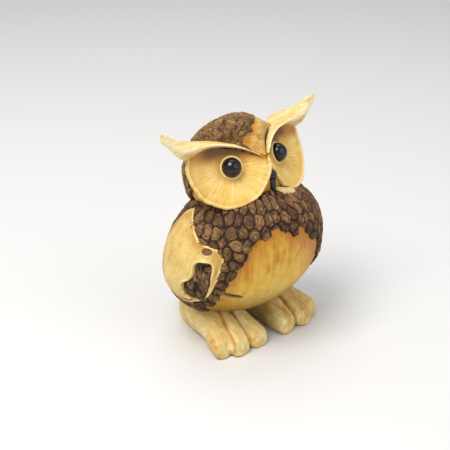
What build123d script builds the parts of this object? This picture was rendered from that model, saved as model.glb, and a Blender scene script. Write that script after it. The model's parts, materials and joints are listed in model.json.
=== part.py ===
from build123d import *
from math import cos, pi, radians, sin, sqrt
import os

os.makedirs("parts", exist_ok=True)

# A small standing owl, pieced together the way a carved nut figure is: a round scraped
# body and head, dark rind left on the neck, back and crown, dished face discs, horns,
# glass bead eyes and two three-toed feet.  Millimetres, +Z up, the face looks along -Y,
# the soles stand on Z = 0.  "Right" is the owl's own right, which is -X.

# ---------------------------------------------------------------- driving dimensions
BODY_BOTTOM = 8.5          # lowest point of the round body
BODY_WIDEST = 34.5         # level of the widest section
BODY_TOP = 68.7            # where the shoulders would close if the head were off
BODY_HALF_WIDTH = 35.0
BODY_HALF_DEPTH = 28.3
BODY_CENTRE_Y = -3.7       # middle of the widest section
BODY_LEAN = 0.22           # forward lean of the section middles, per unit of height
BELLY_FULLNESS = 1.81      # exponents of the side profile, below and above the middle
SHOULDER_FULLNESS = 2.57

HEAD_CENTRE = Vector(0, -1.3, 72.1)
HEAD_HALF_WIDTH = 23.9     # the head's half sizes are measured over the crown rind
HEAD_HALF_DEPTH = 20.6
HEAD_HALF_HEIGHT = 22.0

BRIDGE = Vector(0, -16.2, 83.1)    # bridge of the nose, where the forehead slope starts
FOREHEAD_SLOPE = 53.0      # degrees from upright to the slope's own facing direction

MANTLE_THICKNESS = 1.4     # rind on the chest and the back
WING_THICKNESS = 2.6
WING_BARK_THICKNESS = 1.7
CROWN_THICKNESS = 1.2

DISC_CENTRE = Vector(15.6, -12.5, 80.8)    # left disc; the right one is its mirror
DISC_RADIUS = 17.4
DISC_TURN = 25.7           # degrees that a disc faces outwards
DISC_TILT = 22.8           # degrees that it faces upwards
DISC_DEPTH = 4.4           # depth of the dish
DISC_WALL = 3.2            # wall behind the middle of the dish, thick enough to hold the bead
DISC_LIP = 0.8             # radius of the rounded rim
DISC_BOWL_KNEE = (0.6, 0.66)    # bend of the dish, as shares of its radius and its depth
DISC_BACK_KNEE = (0.62, 0.72)   # the same for the back of the disc

EYE_OUT = -1.65            # the bead's middle, from the middle of the rim: towards the horn,
EYE_UP = -1.12             # up along the rim's plane
EYE_FORWARD = -3.26        # and out of the dish
EYE_RADIUS = 4.0
EYE_STEM_RADIUS = 0.8
EYE_STEM_LENGTH = 8.0
EYE_RING_RADIUS = 0.75     # radius of the raised ring's own section
EYE_RING_BITE = 0.4        # share of that radius by which the bead is let into the ring

NECK_DOWEL_RADIUS = 4.0
NECK_DOWEL_BOTTOM = 38.0
NECK_DOWEL_TOP = 62.0
FOOT_DOWEL_RADIUS = 2.5
FOOT_DOWEL_BOTTOM = 4.0
FOOT_DOWEL_TOP = 21.0
FOOT_DOWEL_X = 14.5
DOWEL_CLEARANCE = 0.05

MANTLE_SPLIT_Y = -2.0      # joint between the chest rind and the back rind
BACK_HEM = 12.5            # lowest level of the back rind
TAIL_LENGTH = 9.7          # how far the tail's end stands out behind the body
TAIL_HALF_WIDTH = 9.0

ANKLE_TOP = 22.0           # how high the feet climb the underside of the body
HEEL_Y = 19.0

# ---------------------------------------------------------------- hand-set outlines
# Torn lower edge of the chest rind, as (x, z) seen from the front.
CHEST_HEM = [
    (-40.0, 23.5), (-31.0, 24.0), (-27.0, 25.5), (-26.4, 33.0), (-24.6, 41.0), (-20.8, 45.0),
    (-19.0, 50.5), (-14.0, 54.0), (-8.3, 56.2), (-4.6, 56.4), (-1.0, 52.8), (4.0, 53.8),
    (10.0, 50.6), (17.0, 45.0), (21.5, 39.0), (24.5, 31.0), (26.5, 25.5), (31.0, 24.0), (40.0, 23.5),
]
# Wing leaf and the open window in its lower part, as (y, z) seen from the side.
WING_LEAF = [
    (0.5, 60.0), (-7.0, 57.0), (-13.0, 52.6), (-19.5, 51.0), (-22.6, 47.5), (-21.6, 40.5),
    (-17.5, 31.0), (-11.5, 26.0), (-2.0, 22.6), (7.0, 26.5), (11.5, 36.0), (10.5, 47.0),
]
WING_WINDOW = [
    (-18.6, 44.6), (-13.6, 43.6), (-11.6, 37.0), (-8.0, 32.4), (-8.4, 29.2), (-13.4, 29.8),
    (-16.6, 34.4), (-18.4, 40.0),
]
# Front edge of the crown rind, as (x, y) seen from above.
CROWN_EDGE = [
    (-40.0, 2.0), (-19.0, -1.0), (-14.0, -7.0), (-9.0, -12.6), (-3.7, -14.4), (0.6, -12.4),
    (5.0, -6.5), (10.5, -1.0), (18.0, 3.5), (40.0, 6.0),
]
FOREHEAD_START_X = -10.0   # the pale panel lies between these two, in front of the crown
FOREHEAD_END_X = 24.0
CROWN_SIDE_Y = -1.0        # the crown's side wall starts here, behind the discs
CROWN_BREAK = 84.0         # level at which the side wall gives way to the top outline
# Crest of the brow, as (x, z) seen from the front: each disc stays below it.
BROW_CREST = [(0.0, 81.6), (8.0, 85.4), (13.0, 87.0), (18.0, 88.0), (23.0, 88.6), (28.0, 87.6), (34.0, 84.6)]
# Sections of a horn, from its root in the side of the head out to the tip:
# (x, middle y, middle z, half depth, half height).
BROW_SECTIONS = [
    (13.0, -6.8, 87.2, 2.6, 2.0), (18.0, -4.2, 87.6, 4.2, 2.3), (23.0, -0.6, 87.6, 5.8, 2.6),
    (28.0, 0.2, 87.6, 5.2, 3.1), (32.0, -1.8, 88.4, 3.6, 3.7),
    (36.0, -3.6, 90.8, 2.5, 3.2), (39.5, -4.1, 93.4, 1.7, 2.4), (42.0, -3.9, 95.2, 0.7, 1.1),
]
# Beak sections from the root down to the hooked tip: (z, middle y, half width, half depth).
BEAK_SECTIONS = [
    (77.0, -19.6, 0.9, 1.2), (75.4, -20.2, 1.9, 2.0), (73.2, -20.6, 1.7, 2.0),
    (70.4, -20.9, 1.3, 1.8), (67.6, -21.6, 0.5, 0.7),
]
# Chin ruff sections under the left disc: (x, middle y, middle z, half depth, half height).
CHIN_SECTIONS = [
    (1.2, -20.6, 68.4, 1.0, 1.2), (4.0, -21.6, 66.8, 2.0, 1.9), (7.5, -22.0, 65.6, 2.4, 1.9),
    (11.0, -21.6, 64.8, 1.8, 1.5), (13.4, -20.8, 64.4, 0.7, 0.7),
]
# Toes of the left foot: (tip x, tip y, root x, half width).
TOES = [(27.0, -21.8, 19.5, 3.7), (18.8, -25.4, 15.0, 3.9), (8.9, -25.4, 9.6, 3.8)]
TOE_ROOT_Y = -4.0
TOE_HALF_HEIGHT = 3.9
TOE_SINK = 0.85            # middle of a toe's section over its half height, so its sole is flat
# Sections of a toe from root to tip: (share of its length, share of its full section).
TOE_PROFILE = [(0.0, 0.8), (0.35, 1.0), (0.7, 1.0), (0.93, 0.72), (1.0, 0.28)]
# Sections of the tail upwards from the body's bottom: (rise, how far forward its end moves, width share).
TAIL_PROFILE = [(0.0, 0.0, 0.8), (8.0, 6.0, 1.0), (19.0, 10.0, 0.9)]
# Sections of the left foot's sole block from heel to ball: (y, middle x, half width, top).
FOOT_SECTIONS = [
    (HEEL_Y, 13.0, 4.0, 8.0), (14.0, 13.6, 7.0, ANKLE_TOP - 2), (5.0, 14.6, 9.8, ANKLE_TOP),
    (-4.0, 15.8, 11.0, ANKLE_TOP - 1), (-12.0, 16.6, 11.4, 12.5), (-18.0, 17.0, 10.0, 8.0),
]

# ---------------------------------------------------------------- shared forms
END_SCALE = 0.14           # size of the closing sections of a lofted form
LAYERS = 11                # sections in a lofted form
REACH = 120.0              # longer than the whole figure, for cutting tools


def lofted_form(sections):
    """Closed form through horizontal ellipses (level, middle y, half width, half depth)."""
    with BuildPart() as form:
        for level, middle_y, half_width, half_depth in sections:
            with BuildSketch(Plane.XY.offset(level)):
                with Locations((0, middle_y)):
                    Ellipse(half_width, half_depth)
        loft()
    return form.part


def body_form(grow):
    """The body egg, thicker all round by grow: power-curve profile, sections leaning forward."""
    sections = []
    for i in range(LAYERS):
        share = -cos(pi * i / (LAYERS - 1))
        below = share < 0
        span = BODY_WIDEST - BODY_BOTTOM if below else BODY_TOP - BODY_WIDEST
        power = BELLY_FULLNESS if below else SHOULDER_FULLNESS
        size = max(sqrt(1 - abs(share) ** power), END_SCALE)
        level = BODY_WIDEST + share * (span + grow)
        middle_y = BODY_CENTRE_Y - BODY_LEAN * share * span
        sections.append((level, middle_y, BODY_HALF_WIDTH * size + grow, BODY_HALF_DEPTH * size + grow))
    return lofted_form(sections)


def head_form(shrink):
    """The head ellipsoid with its sloping forehead, smaller all round by shrink."""
    slope = Vector(0, -cos(radians(FOREHEAD_SLOPE)), sin(radians(FOREHEAD_SLOPE)))
    forehead_plane = Plane(origin=BRIDGE - slope * shrink, z_dir=slope)
    sections = []
    for i in range(LAYERS):
        share = -cos(pi * i / (LAYERS - 1))
        size = max(sqrt(1 - share * share), END_SCALE)
        level = HEAD_CENTRE.Z + share * (HEAD_HALF_HEIGHT - shrink)
        half_width = (HEAD_HALF_WIDTH - shrink) * size
        sections.append((level, HEAD_CENTRE.Y, half_width, (HEAD_HALF_DEPTH - shrink) * size))
    with BuildPart() as head:
        add(lofted_form(sections))
        split(bisect_by=forehead_plane, keep=Keep.BOTTOM)
    return head.part


def outline_prism(points, plane, length, smooth=True):
    """Prism of a closed outline, drawn on a plane and pulled along its normal."""
    with BuildPart() as prism:
        with BuildSketch(plane):
            with BuildLine():
                if smooth:
                    Spline(points, periodic=True)
                else:
                    Polyline(points, close=True)
            make_face()
        extrude(amount=length)
    return prism.part


def disc_plane(side):
    """Plane of a disc's rim: Z looks out of the dish, X points to its own horn."""
    turn, tilt = radians(DISC_TURN), radians(DISC_TILT)
    facing = Vector(side * sin(turn) * cos(tilt), -cos(turn) * cos(tilt), sin(tilt))
    origin = Vector(side * DISC_CENTRE.X, DISC_CENTRE.Y, DISC_CENTRE.Z)
    return Plane(origin=origin, x_dir=Vector(side * cos(turn), sin(turn), 0), z_dir=facing)


def eye_plane(side):
    """Plane through the middle of an eye bead, turned like its disc."""
    base = disc_plane(side)
    origin = base.origin + base.x_dir * EYE_OUT + base.y_dir * side * EYE_UP + base.z_dir * EYE_FORWARD
    return Plane(origin=origin, x_dir=base.x_dir, z_dir=base.z_dir)


def below_brow(inner_x):
    """Everything that lies below the crest of the brows, from inner_x out past the left side."""
    crest = [(x, z) for x, z in BROW_CREST if x > inner_x]
    if inner_x < 0:
        crest = [(-x, z) for x, z in reversed(BROW_CREST[1:])] + crest
        crest = [(-REACH / 2, crest[0][1])] + crest
    else:
        crest = [(inner_x, BROW_CREST[0][1])] + crest
    foot = [(REACH / 2, crest[-1][1]), (REACH / 2, 0), (crest[0][0], 0)]
    return outline_prism(crest + foot, Plane.XZ.offset(-REACH / 2), REACH, smooth=False)


def disc_form(side, filled):
    """A disc's bowl with its rounded rim, or the same form filled and carried on forwards."""
    frame = disc_plane(side)
    section = Plane(origin=frame.origin, x_dir=frame.x_dir, z_dir=-frame.y_dir)
    inner = DISC_RADIUS - 2 * DISC_LIP
    floor = -DISC_DEPTH - DISC_WALL
    bowl_out, bowl_down = DISC_BOWL_KNEE
    back_out, back_down = DISC_BACK_KNEE
    bowl = [(0, -DISC_DEPTH), (inner * bowl_out, -DISC_DEPTH * bowl_down), (inner, 0)]
    back = [(DISC_RADIUS, 0), (DISC_RADIUS * back_out, floor * back_down), (0, floor)]
    with BuildPart() as form:
        with BuildSketch(section):
            with BuildLine():
                Spline(back)
                if filled:
                    Polyline(back[0], (DISC_RADIUS, REACH / 4), (0, REACH / 4), back[2])
                else:
                    Spline(bowl)
                    ThreePointArc(bowl[2], (inner + DISC_LIP, DISC_LIP), back[0])
                    Line(back[2], bowl[0])
            make_face()
        revolve(axis=Axis(frame.origin, frame.z_dir))
    return form.part


def rod(radius, bottom, top, x, y):
    """Upright pin."""
    with BuildPart() as pin:
        with BuildSketch(Plane.XY.offset(bottom)):
            with Locations((x, y)):
                Circle(radius)
        extrude(amount=top - bottom)
    return pin.part


def finish(piece, name):
    """Label a finished piece and write it out."""
    piece.label = name
    export_step(piece, f"parts/{name}.step")


SIDES = {"right": -1, "left": 1}

body_core = body_form(0)
mantle_shape = body_form(MANTLE_THICKNESS)
wing_shape = body_form(WING_THICKNESS)
bark_shape = body_form(WING_BARK_THICKNESS)
head_outer = head_form(0)
head_inner = head_form(CROWN_THICKNESS)

with BuildPart() as left_half:
    add(below_brow(0))
halves = {"left": left_half.part, "right": mirror(left_half.part, about=Plane.YZ)}

# Room that the two discs take up in the face.
with BuildPart() as face_room:
    for side in SIDES.values():
        add(disc_form(side, True))
    add(below_brow(-1), mode=Mode.INTERSECT)

# ---------------------------------------------------------------- brows and horns
for name, side in SIDES.items():
    with BuildPart() as brow_horn:
        for x, middle_y, middle_z, half_depth, half_height in BROW_SECTIONS:
            with BuildSketch(Plane.YZ.offset(side * x)):
                with Locations((middle_y, middle_z)):
                    Ellipse(half_depth, half_height)
        loft()
        add(head_outer, mode=Mode.SUBTRACT)
        add(face_room.part, mode=Mode.SUBTRACT)
    finish(brow_horn.part, f"brow_horn_{name}")

# ---------------------------------------------------------------- eyes, discs and rings
beads = {}
bowls = {}
for name, side in SIDES.items():
    with BuildPart() as eye:
        with Locations(eye_plane(side).origin):
            Sphere(EYE_RADIUS)
        with BuildSketch(eye_plane(side)):
            Circle(EYE_STEM_RADIUS)
        extrude(amount=-EYE_STEM_LENGTH)
    beads[name] = eye.part
    finish(eye.part, f"eye_{name}")

    with BuildPart() as bowl:
        add(disc_form(side, False))
        add(halves[name], mode=Mode.INTERSECT)
    bowls[name] = bowl.part

    with BuildPart() as disc:
        add(bowl.part)
        add(beads[name], mode=Mode.SUBTRACT)
    finish(disc.part, f"disc_{name}")

    with BuildPart() as eye_ring:
        with Locations(eye_plane(side).offset(-EYE_RING_RADIUS).location):
            Torus(EYE_RADIUS + EYE_RING_RADIUS * (1 - EYE_RING_BITE), EYE_RING_RADIUS)
        add(beads[name], mode=Mode.SUBTRACT)
        add(bowl.part, mode=Mode.SUBTRACT)
    finish(eye_ring.part, f"eye_ring_{name}")

# ---------------------------------------------------------------- beak and dowels
with BuildPart() as beak:
    for level, middle_y, half_width, half_depth in reversed(BEAK_SECTIONS):
        with BuildSketch(Plane.XY.offset(level)):
            with Locations((0, middle_y)):
                Ellipse(half_width, half_depth)
    loft()
    for name in SIDES:
        add(bowls[name], mode=Mode.SUBTRACT)
finish(beak.part, "beak")

with BuildPart() as chin_ruff:
    for x, middle_y, middle_z, half_depth, half_height in CHIN_SECTIONS:
        with BuildSketch(Plane.YZ.offset(x)):
            with Locations((middle_y, middle_z)):
                Ellipse(half_depth, half_height)
    loft()
    add(face_room.part, mode=Mode.SUBTRACT)
    add(beak.part, mode=Mode.SUBTRACT)
finish(chin_ruff.part, "chin_ruff")

neck_dowel = rod(NECK_DOWEL_RADIUS, NECK_DOWEL_BOTTOM, NECK_DOWEL_TOP, 0, HEAD_CENTRE.Y)
neck_bore = rod(NECK_DOWEL_RADIUS + DOWEL_CLEARANCE, NECK_DOWEL_BOTTOM, NECK_DOWEL_TOP, 0, HEAD_CENTRE.Y)
finish(neck_dowel, "neck_dowel")

foot_bores = {}
for name, side in SIDES.items():
    place = (FOOT_DOWEL_BOTTOM, FOOT_DOWEL_TOP, side * FOOT_DOWEL_X, 0)
    foot_bores[name] = rod(FOOT_DOWEL_RADIUS + DOWEL_CLEARANCE, *place)
    finish(rod(FOOT_DOWEL_RADIUS, *place), f"foot_dowel_{name}")

# ---------------------------------------------------------------- crown, forehead, head
with BuildPart() as crown_region:
    add(outline_prism(CROWN_EDGE + [(40, 60), (-40, 60)], Plane.XY.offset(CROWN_BREAK), REACH, smooth=False))
    with Locations((0, CROWN_SIDE_Y, CROWN_BREAK)):
        Box(REACH, REACH, REACH, align=(Align.CENTER, Align.MIN, Align.MAX))

with BuildPart() as crown:
    add(head_outer)
    add(head_inner, mode=Mode.SUBTRACT)
    add(crown_region.part, mode=Mode.INTERSECT)
    add(mantle_shape, mode=Mode.SUBTRACT)
    add(face_room.part, mode=Mode.SUBTRACT)
finish(crown.part, "crown")

panel = [(x, y) for x, y in CROWN_EDGE if FOREHEAD_START_X < x < FOREHEAD_END_X]
panel += [(FOREHEAD_END_X, panel[-1][1]), (FOREHEAD_END_X, -REACH / 2), (panel[0][0], -REACH / 2)]
with BuildPart() as forehead:
    add(head_outer)
    add(head_inner, mode=Mode.SUBTRACT)
    add(outline_prism(panel, Plane.XY.offset(BROW_CREST[0][1]), REACH, smooth=False), mode=Mode.INTERSECT)
    add(crown_region.part, mode=Mode.SUBTRACT)
    add(face_room.part, mode=Mode.SUBTRACT)
finish(forehead.part, "forehead")

with BuildPart() as head_core:
    add(head_inner)
    add(face_room.part, mode=Mode.SUBTRACT)
    for side in SIDES.values():
        with BuildSketch(eye_plane(side)):
            Circle(EYE_STEM_RADIUS)
        extrude(amount=-EYE_STEM_LENGTH, mode=Mode.SUBTRACT)
    add(beak.part, mode=Mode.SUBTRACT)
    add(chin_ruff.part, mode=Mode.SUBTRACT)
    add(neck_bore, mode=Mode.SUBTRACT)
finish(head_core.part, "head_core")

# ---------------------------------------------------------------- wings
leaves = {}
for name, side in SIDES.items():
    leaf = outline_prism(WING_LEAF, Plane.YZ.offset(side), side * REACH / 2)
    window = outline_prism(WING_WINDOW, Plane.YZ.offset(side), side * REACH / 2)
    with BuildPart() as wing:
        add(wing_shape)
        add(body_core, mode=Mode.SUBTRACT)
        add(leaf, mode=Mode.INTERSECT)
        add(window, mode=Mode.SUBTRACT)
    leaves[name] = leaf
    finish(wing.part, f"wing_{name}")
    with BuildPart() as wing_bark:
        add(bark_shape)
        add(body_core, mode=Mode.SUBTRACT)
        add(window, mode=Mode.INTERSECT)
    finish(wing_bark.part, f"wing_bark_{name}")

# ---------------------------------------------------------------- tail and feet
tail_end_y = BODY_CENTRE_Y + BODY_HALF_DEPTH + TAIL_LENGTH
with BuildPart() as tail:
    for rise, forward, width_share in TAIL_PROFILE:
        with BuildSketch(Plane.XY.offset(BODY_BOTTOM + rise)):
            with Locations((0, tail_end_y - forward - TAIL_HALF_WIDTH)):
                Ellipse(TAIL_HALF_WIDTH * width_share, TAIL_HALF_WIDTH)
    loft()
    add(body_core, mode=Mode.SUBTRACT)
finish(tail.part, "tail")

feet = {}
for name, side in SIDES.items():
    with BuildPart() as foot:
        for y, middle_x, half_width, top in FOOT_SECTIONS:
            with BuildSketch(Plane.XZ.offset(-y)):
                with Locations((side * middle_x, 0)):
                    Ellipse(half_width, top)
        loft()
        for tip_x, tip_y, root_x, half_width in TOES:
            with BuildPart(mode=Mode.PRIVATE) as toe:
                for share, swell in TOE_PROFILE:
                    y = TOE_ROOT_Y + share * (tip_y - TOE_ROOT_Y)
                    x = root_x + share * (tip_x - root_x)
                    with BuildSketch(Plane.XZ.offset(-y)):
                        with Locations((side * x, TOE_HALF_HEIGHT * TOE_SINK * swell)):
                            Ellipse(half_width * swell, TOE_HALF_HEIGHT * swell)
                loft()
            add(toe.part)
        with Locations((0, 0, 0)):
            Box(REACH, REACH, REACH, align=(Align.CENTER, Align.CENTER, Align.MAX), mode=Mode.SUBTRACT)
        add(body_core, mode=Mode.SUBTRACT)
        add(foot_bores[name], mode=Mode.SUBTRACT)
    feet[name] = foot.part
    finish(foot.part, f"foot_{name}")

# ---------------------------------------------------------------- rind on chest and back
hem = CHEST_HEM + [(40, 80), (-40, 80)]
chest_region = outline_prism(hem, Plane.XZ.offset(-MANTLE_SPLIT_Y), REACH / 2, smooth=False)

with BuildPart() as chest_mantle:
    add(mantle_shape)
    add(body_core, mode=Mode.SUBTRACT)
    add(chest_region, mode=Mode.INTERSECT)
    add(head_inner, mode=Mode.SUBTRACT)
    for name in SIDES:
        add(leaves[name], mode=Mode.SUBTRACT)
    add(face_room.part, mode=Mode.SUBTRACT)
    add(beak.part, mode=Mode.SUBTRACT)
    add(chin_ruff.part, mode=Mode.SUBTRACT)
finish(chest_mantle.part, "chest_mantle")

with BuildPart() as back_mantle:
    add(mantle_shape)
    add(body_core, mode=Mode.SUBTRACT)
    with Locations((0, MANTLE_SPLIT_Y, BACK_HEM)):
        Box(REACH, REACH, REACH, align=(Align.CENTER, Align.MIN, Align.MIN), mode=Mode.INTERSECT)
    add(head_inner, mode=Mode.SUBTRACT)
    for name in SIDES:
        add(leaves[name], mode=Mode.SUBTRACT)
        add(feet[name], mode=Mode.SUBTRACT)
    add(face_room.part, mode=Mode.SUBTRACT)
    add(tail.part, mode=Mode.SUBTRACT)
finish(back_mantle.part, "back_mantle")

# ---------------------------------------------------------------- body
with BuildPart() as belly_body:
    add(body_core)
    add(head_inner, mode=Mode.SUBTRACT)
    add(face_room.part, mode=Mode.SUBTRACT)
    for name in SIDES:
        add(foot_bores[name], mode=Mode.SUBTRACT)
    add(beak.part, mode=Mode.SUBTRACT)
    add(chin_ruff.part, mode=Mode.SUBTRACT)
    add(neck_bore, mode=Mode.SUBTRACT)
finish(belly_body.part, "belly_body")
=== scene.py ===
import json
import math
import bpy
import numpy as np
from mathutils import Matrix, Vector

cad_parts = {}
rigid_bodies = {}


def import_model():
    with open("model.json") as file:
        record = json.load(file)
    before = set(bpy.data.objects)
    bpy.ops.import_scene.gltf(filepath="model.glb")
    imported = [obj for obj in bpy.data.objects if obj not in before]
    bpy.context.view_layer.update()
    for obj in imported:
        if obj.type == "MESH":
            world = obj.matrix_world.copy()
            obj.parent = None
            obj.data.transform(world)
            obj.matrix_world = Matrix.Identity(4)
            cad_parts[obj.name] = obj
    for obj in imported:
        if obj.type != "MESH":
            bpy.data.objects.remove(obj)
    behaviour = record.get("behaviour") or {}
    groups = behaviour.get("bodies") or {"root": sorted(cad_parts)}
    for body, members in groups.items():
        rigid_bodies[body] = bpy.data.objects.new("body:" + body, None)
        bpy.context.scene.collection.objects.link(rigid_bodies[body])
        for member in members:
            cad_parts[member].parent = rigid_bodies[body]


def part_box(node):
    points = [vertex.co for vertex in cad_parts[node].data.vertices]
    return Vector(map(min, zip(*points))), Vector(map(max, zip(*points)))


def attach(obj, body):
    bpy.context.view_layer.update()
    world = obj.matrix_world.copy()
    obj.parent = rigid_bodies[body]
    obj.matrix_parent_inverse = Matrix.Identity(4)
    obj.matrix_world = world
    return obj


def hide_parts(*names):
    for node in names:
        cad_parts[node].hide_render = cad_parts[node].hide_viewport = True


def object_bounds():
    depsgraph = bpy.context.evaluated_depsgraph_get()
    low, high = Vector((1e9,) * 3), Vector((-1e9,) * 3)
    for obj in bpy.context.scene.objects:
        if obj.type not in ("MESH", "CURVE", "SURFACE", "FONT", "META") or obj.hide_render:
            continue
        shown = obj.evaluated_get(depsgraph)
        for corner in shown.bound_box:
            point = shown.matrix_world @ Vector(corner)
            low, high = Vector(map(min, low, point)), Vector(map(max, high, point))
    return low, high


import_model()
CAD_LO, CAD_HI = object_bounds()

# Shapes are worked out in owl millimetres: a millimetre on a figure of nominal height.
# The frame's own height turns them into metres, and its boxes give the placed pieces.
FIGURE_HEIGHT = 96.4
UNIT = (CAD_HI.z - CAD_LO.z) / FIGURE_HEIGHT
TAU = 2 * math.pi
SIDES = {"right": -1.0, "left": 1.0}


def node_box(name):
    """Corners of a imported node, in owl millimetres."""
    lo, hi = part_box(name)
    return np.array(lo) / UNIT, np.array(hi) / UNIT


BODY_LO, BODY_HI = node_box("belly_body")
EYE_LO, EYE_HI = node_box("eye_left")
EYE_RADIUS = (EYE_HI[0] - EYE_LO[0]) / 2
EYE = np.array([(EYE_LO[0] + EYE_HI[0]) / 2, EYE_LO[1] + EYE_RADIUS, (EYE_LO[2] + EYE_HI[2]) / 2])
CROWN_LO, CROWN_HI = node_box("crown")

# ---------------------------------------------------------------- sizes
BODY_BOTTOM, BODY_WIDEST, BODY_TOP = BODY_LO[2], 34.5, 68.7
BODY_HALF_WIDTH = (BODY_HI[0] - BODY_LO[0]) / 2
BODY_HALF_DEPTH = 28.3
BODY_CENTRE_Y, BODY_LEAN = -3.7, 0.22
BELLY_FULLNESS, SHOULDER_FULLNESS = 1.81, 2.57

HEAD_HALF = np.array([(CROWN_HI[0] - CROWN_LO[0]) / 2, 20.6, 22.0])
HEAD_CENTRE = np.array([0.0, -1.3, CROWN_HI[2] - 22.0])

DISC_CENTRE = np.array([15.6, -12.5, 80.8])
DISC_RADIUS = 17.4
DISC_DISH = 4.4
DISC_TURN, DISC_TILT = math.radians(25.7), math.radians(22.8)
DISC_BOWL_POWER = 1.9       # how the dish deepens from its rim inwards
FOREHEAD_SLOPE = 0.72       # millimetres back for each one up
SCALE_ROW, SCALE_SPACING = 4.0, 4.7
RIND_RADIUS = 31.0          # turns an angle round the body into a distance on the rind
# Dark brown of pits and specks, also used for dark painted shade.
PIT_AND_SHADE_COLOUR = (0.06, 0.030, 0.012)

# Crest of the brow from the nose outwards: x, y, z.
CREST = np.array([
    (0.5, -17.8, 81.9), (3.0, -16.1, 83.1), (8.0, -11.9, 86.2), (13.0, -8.8, 87.8),
    (18.0, -6.9, 88.8), (23.0, -6.0, 89.9), (28.0, -4.6, 90.8), (32.0, -3.9, 92.1),
])
# Torn lower edge of the rind round the body: turn from the front in degrees, level.
HEM = np.array([
    (-180, 10.5), (-120, 11.5), (-92, 13.5), (-82, 17.5), (-76, 24.0), (-68, 23.4), (-61, 27.5), (-56, 32.0),
    (-53, 37.0), (-49, 41.0), (-46, 43.8), (-41, 45.0), (-39, 48.0), (-36, 50.8), (-30, 53.7), (-25, 55.3),
    (-17, 56.2), (-9, 56.6), (-5, 55.0), (-2, 52.6), (3, 53.2), (7, 53.9), (12, 53.6), (18, 50.9),
    (27, 47.5), (33, 45.0), (37, 42.0), (42, 38.0), (48, 33.0), (55, 27.0), (62, 24.5), (76, 24.0),
    (82, 17.5), (92, 13.5), (120, 11.5), (180, 10.5),
], float)
# Front edge of the crown rind seen from above: x, y.
CROWN_EDGE = np.array([
    (-40.0, 2.0), (-22.0, -2.0), (-18.0, -4.6), (-14.0, -7.6), (-11.0, -9.6), (-8.0, -10.4), (-5.0, -11.0),
    (-2.0, -10.2), (0.6, -8.8), (3.0, -6.8), (5.0, -5.0), (7.0, -2.0), (10.5, 0.5), (14.0, 3.4),
    (18.0, 5.5), (22.0, 6.4), (40.0, 7.0),
])
# Wing leaf and its open window seen from the side: y, z.
WING_LEAF = np.array([
    (0.5, 60.0), (-7.0, 57.0), (-13.0, 52.6), (-19.5, 51.0), (-22.6, 47.5), (-21.6, 40.5),
    (-17.5, 31.0), (-11.5, 26.0), (-2.0, 22.6), (7.0, 26.5), (11.5, 36.0), (10.5, 47.0),
])
WING_WINDOW = np.array([
    (-18.4, 44.2), (-15.8, 44.8), (-13.2, 43.4), (-12.6, 39.6), (-10.6, 36.2), (-7.2, 33.4), (-7.4, 28.4),
    (-12.6, 27.6), (-16.0, 32.0), (-17.8, 38.4),
])


# ---------------------------------------------------------------- small tools for shapes
def fade(start, end, x):
    """Smooth step from 0 at start to 1 at end."""
    t = np.clip((x - start) / (end - start), 0, 1)
    return t * t * (3 - 2 * t)


def noise(p, cell, seed=0):
    """Value noise from -1 to 1: random heights on a cubic lattice of the given cell, blended smoothly."""
    q = np.asarray(p) / cell
    base = np.floor(q).astype(np.int64)
    f = q - base
    f = f * f * (3 - 2 * f)
    total = np.zeros(q.shape[:-1])
    for corner in np.ndindex(2, 2, 2):
        c = base + np.array(corner)
        h = (c[..., 0] * 374761393 + c[..., 1] * 668265263 + c[..., 2] * 2147483647 + seed * 974634777) & 0xFFFFFFFF
        h = ((h ^ (h >> 13)) * 1274126177) & 0xFFFFFFFF
        h = (h ^ (h >> 16)) & 0xFFFF
        w = np.ones(q.shape[:-1])
        for axis in range(3):
            w = w * (f[..., axis] if corner[axis] else 1 - f[..., axis])
        total += w * h
    return total / 32767.5 - 1


def rough(p, cell, seed=0, octaves=4):
    """Several sizes of noise added up, each half as large and half as strong as the one before."""
    return sum(noise(p, cell / 2 ** k, seed + k) / 2 ** k for k in range(octaves)) / 1.6


def unit(v):
    """Vectors brought to length one."""
    return v / (np.linalg.norm(v, axis=-1, keepdims=True) + 1e-12)


def curve_through(knots, values, where):
    """Natural cubic spline through values at knots, read at where."""
    knots = np.asarray(knots, float)
    values = np.asarray(values, float).reshape(len(knots), -1)
    n = len(knots)
    h = np.diff(knots)
    system = np.eye(n)
    target = np.zeros_like(values)
    for i in range(1, n - 1):
        system[i, i - 1:i + 2] = h[i - 1], 2 * (h[i - 1] + h[i]), h[i]
        target[i] = 6 * ((values[i + 1] - values[i]) / h[i] - (values[i] - values[i - 1]) / h[i - 1])
    bend = np.linalg.solve(system, target)
    where = np.asarray(where, float)
    k = np.clip(np.searchsorted(knots, where) - 1, 0, n - 2)
    a = ((knots[k + 1] - where) / h[k])[..., None]
    b = 1 - a
    step = h[k][..., None]
    return a * values[k] + b * values[k + 1] + ((a ** 3 - a) * bend[k] + (b ** 3 - b) * bend[k + 1]) * step ** 2 / 6


def closed_curve(points, per_span):
    """Closed Catmull-Rom curve through points (..., n, dims): per_span samples from each point to the next."""
    t = (np.arange(per_span) / per_span)[:, None]
    p0, p1, p2, p3 = (np.roll(points, s, axis=-2)[..., :, None, :] for s in (1, 0, -1, -2))
    out = 0.5 * (2 * p1 + (p2 - p0) * t + (2 * p0 - 5 * p1 + 4 * p2 - p3) * t ** 2
                 + (3 * p1 - p0 - 3 * p2 + p3) * t ** 3)
    return out.reshape(points.shape[:-2] + (-1, points.shape[-1]))


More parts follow.
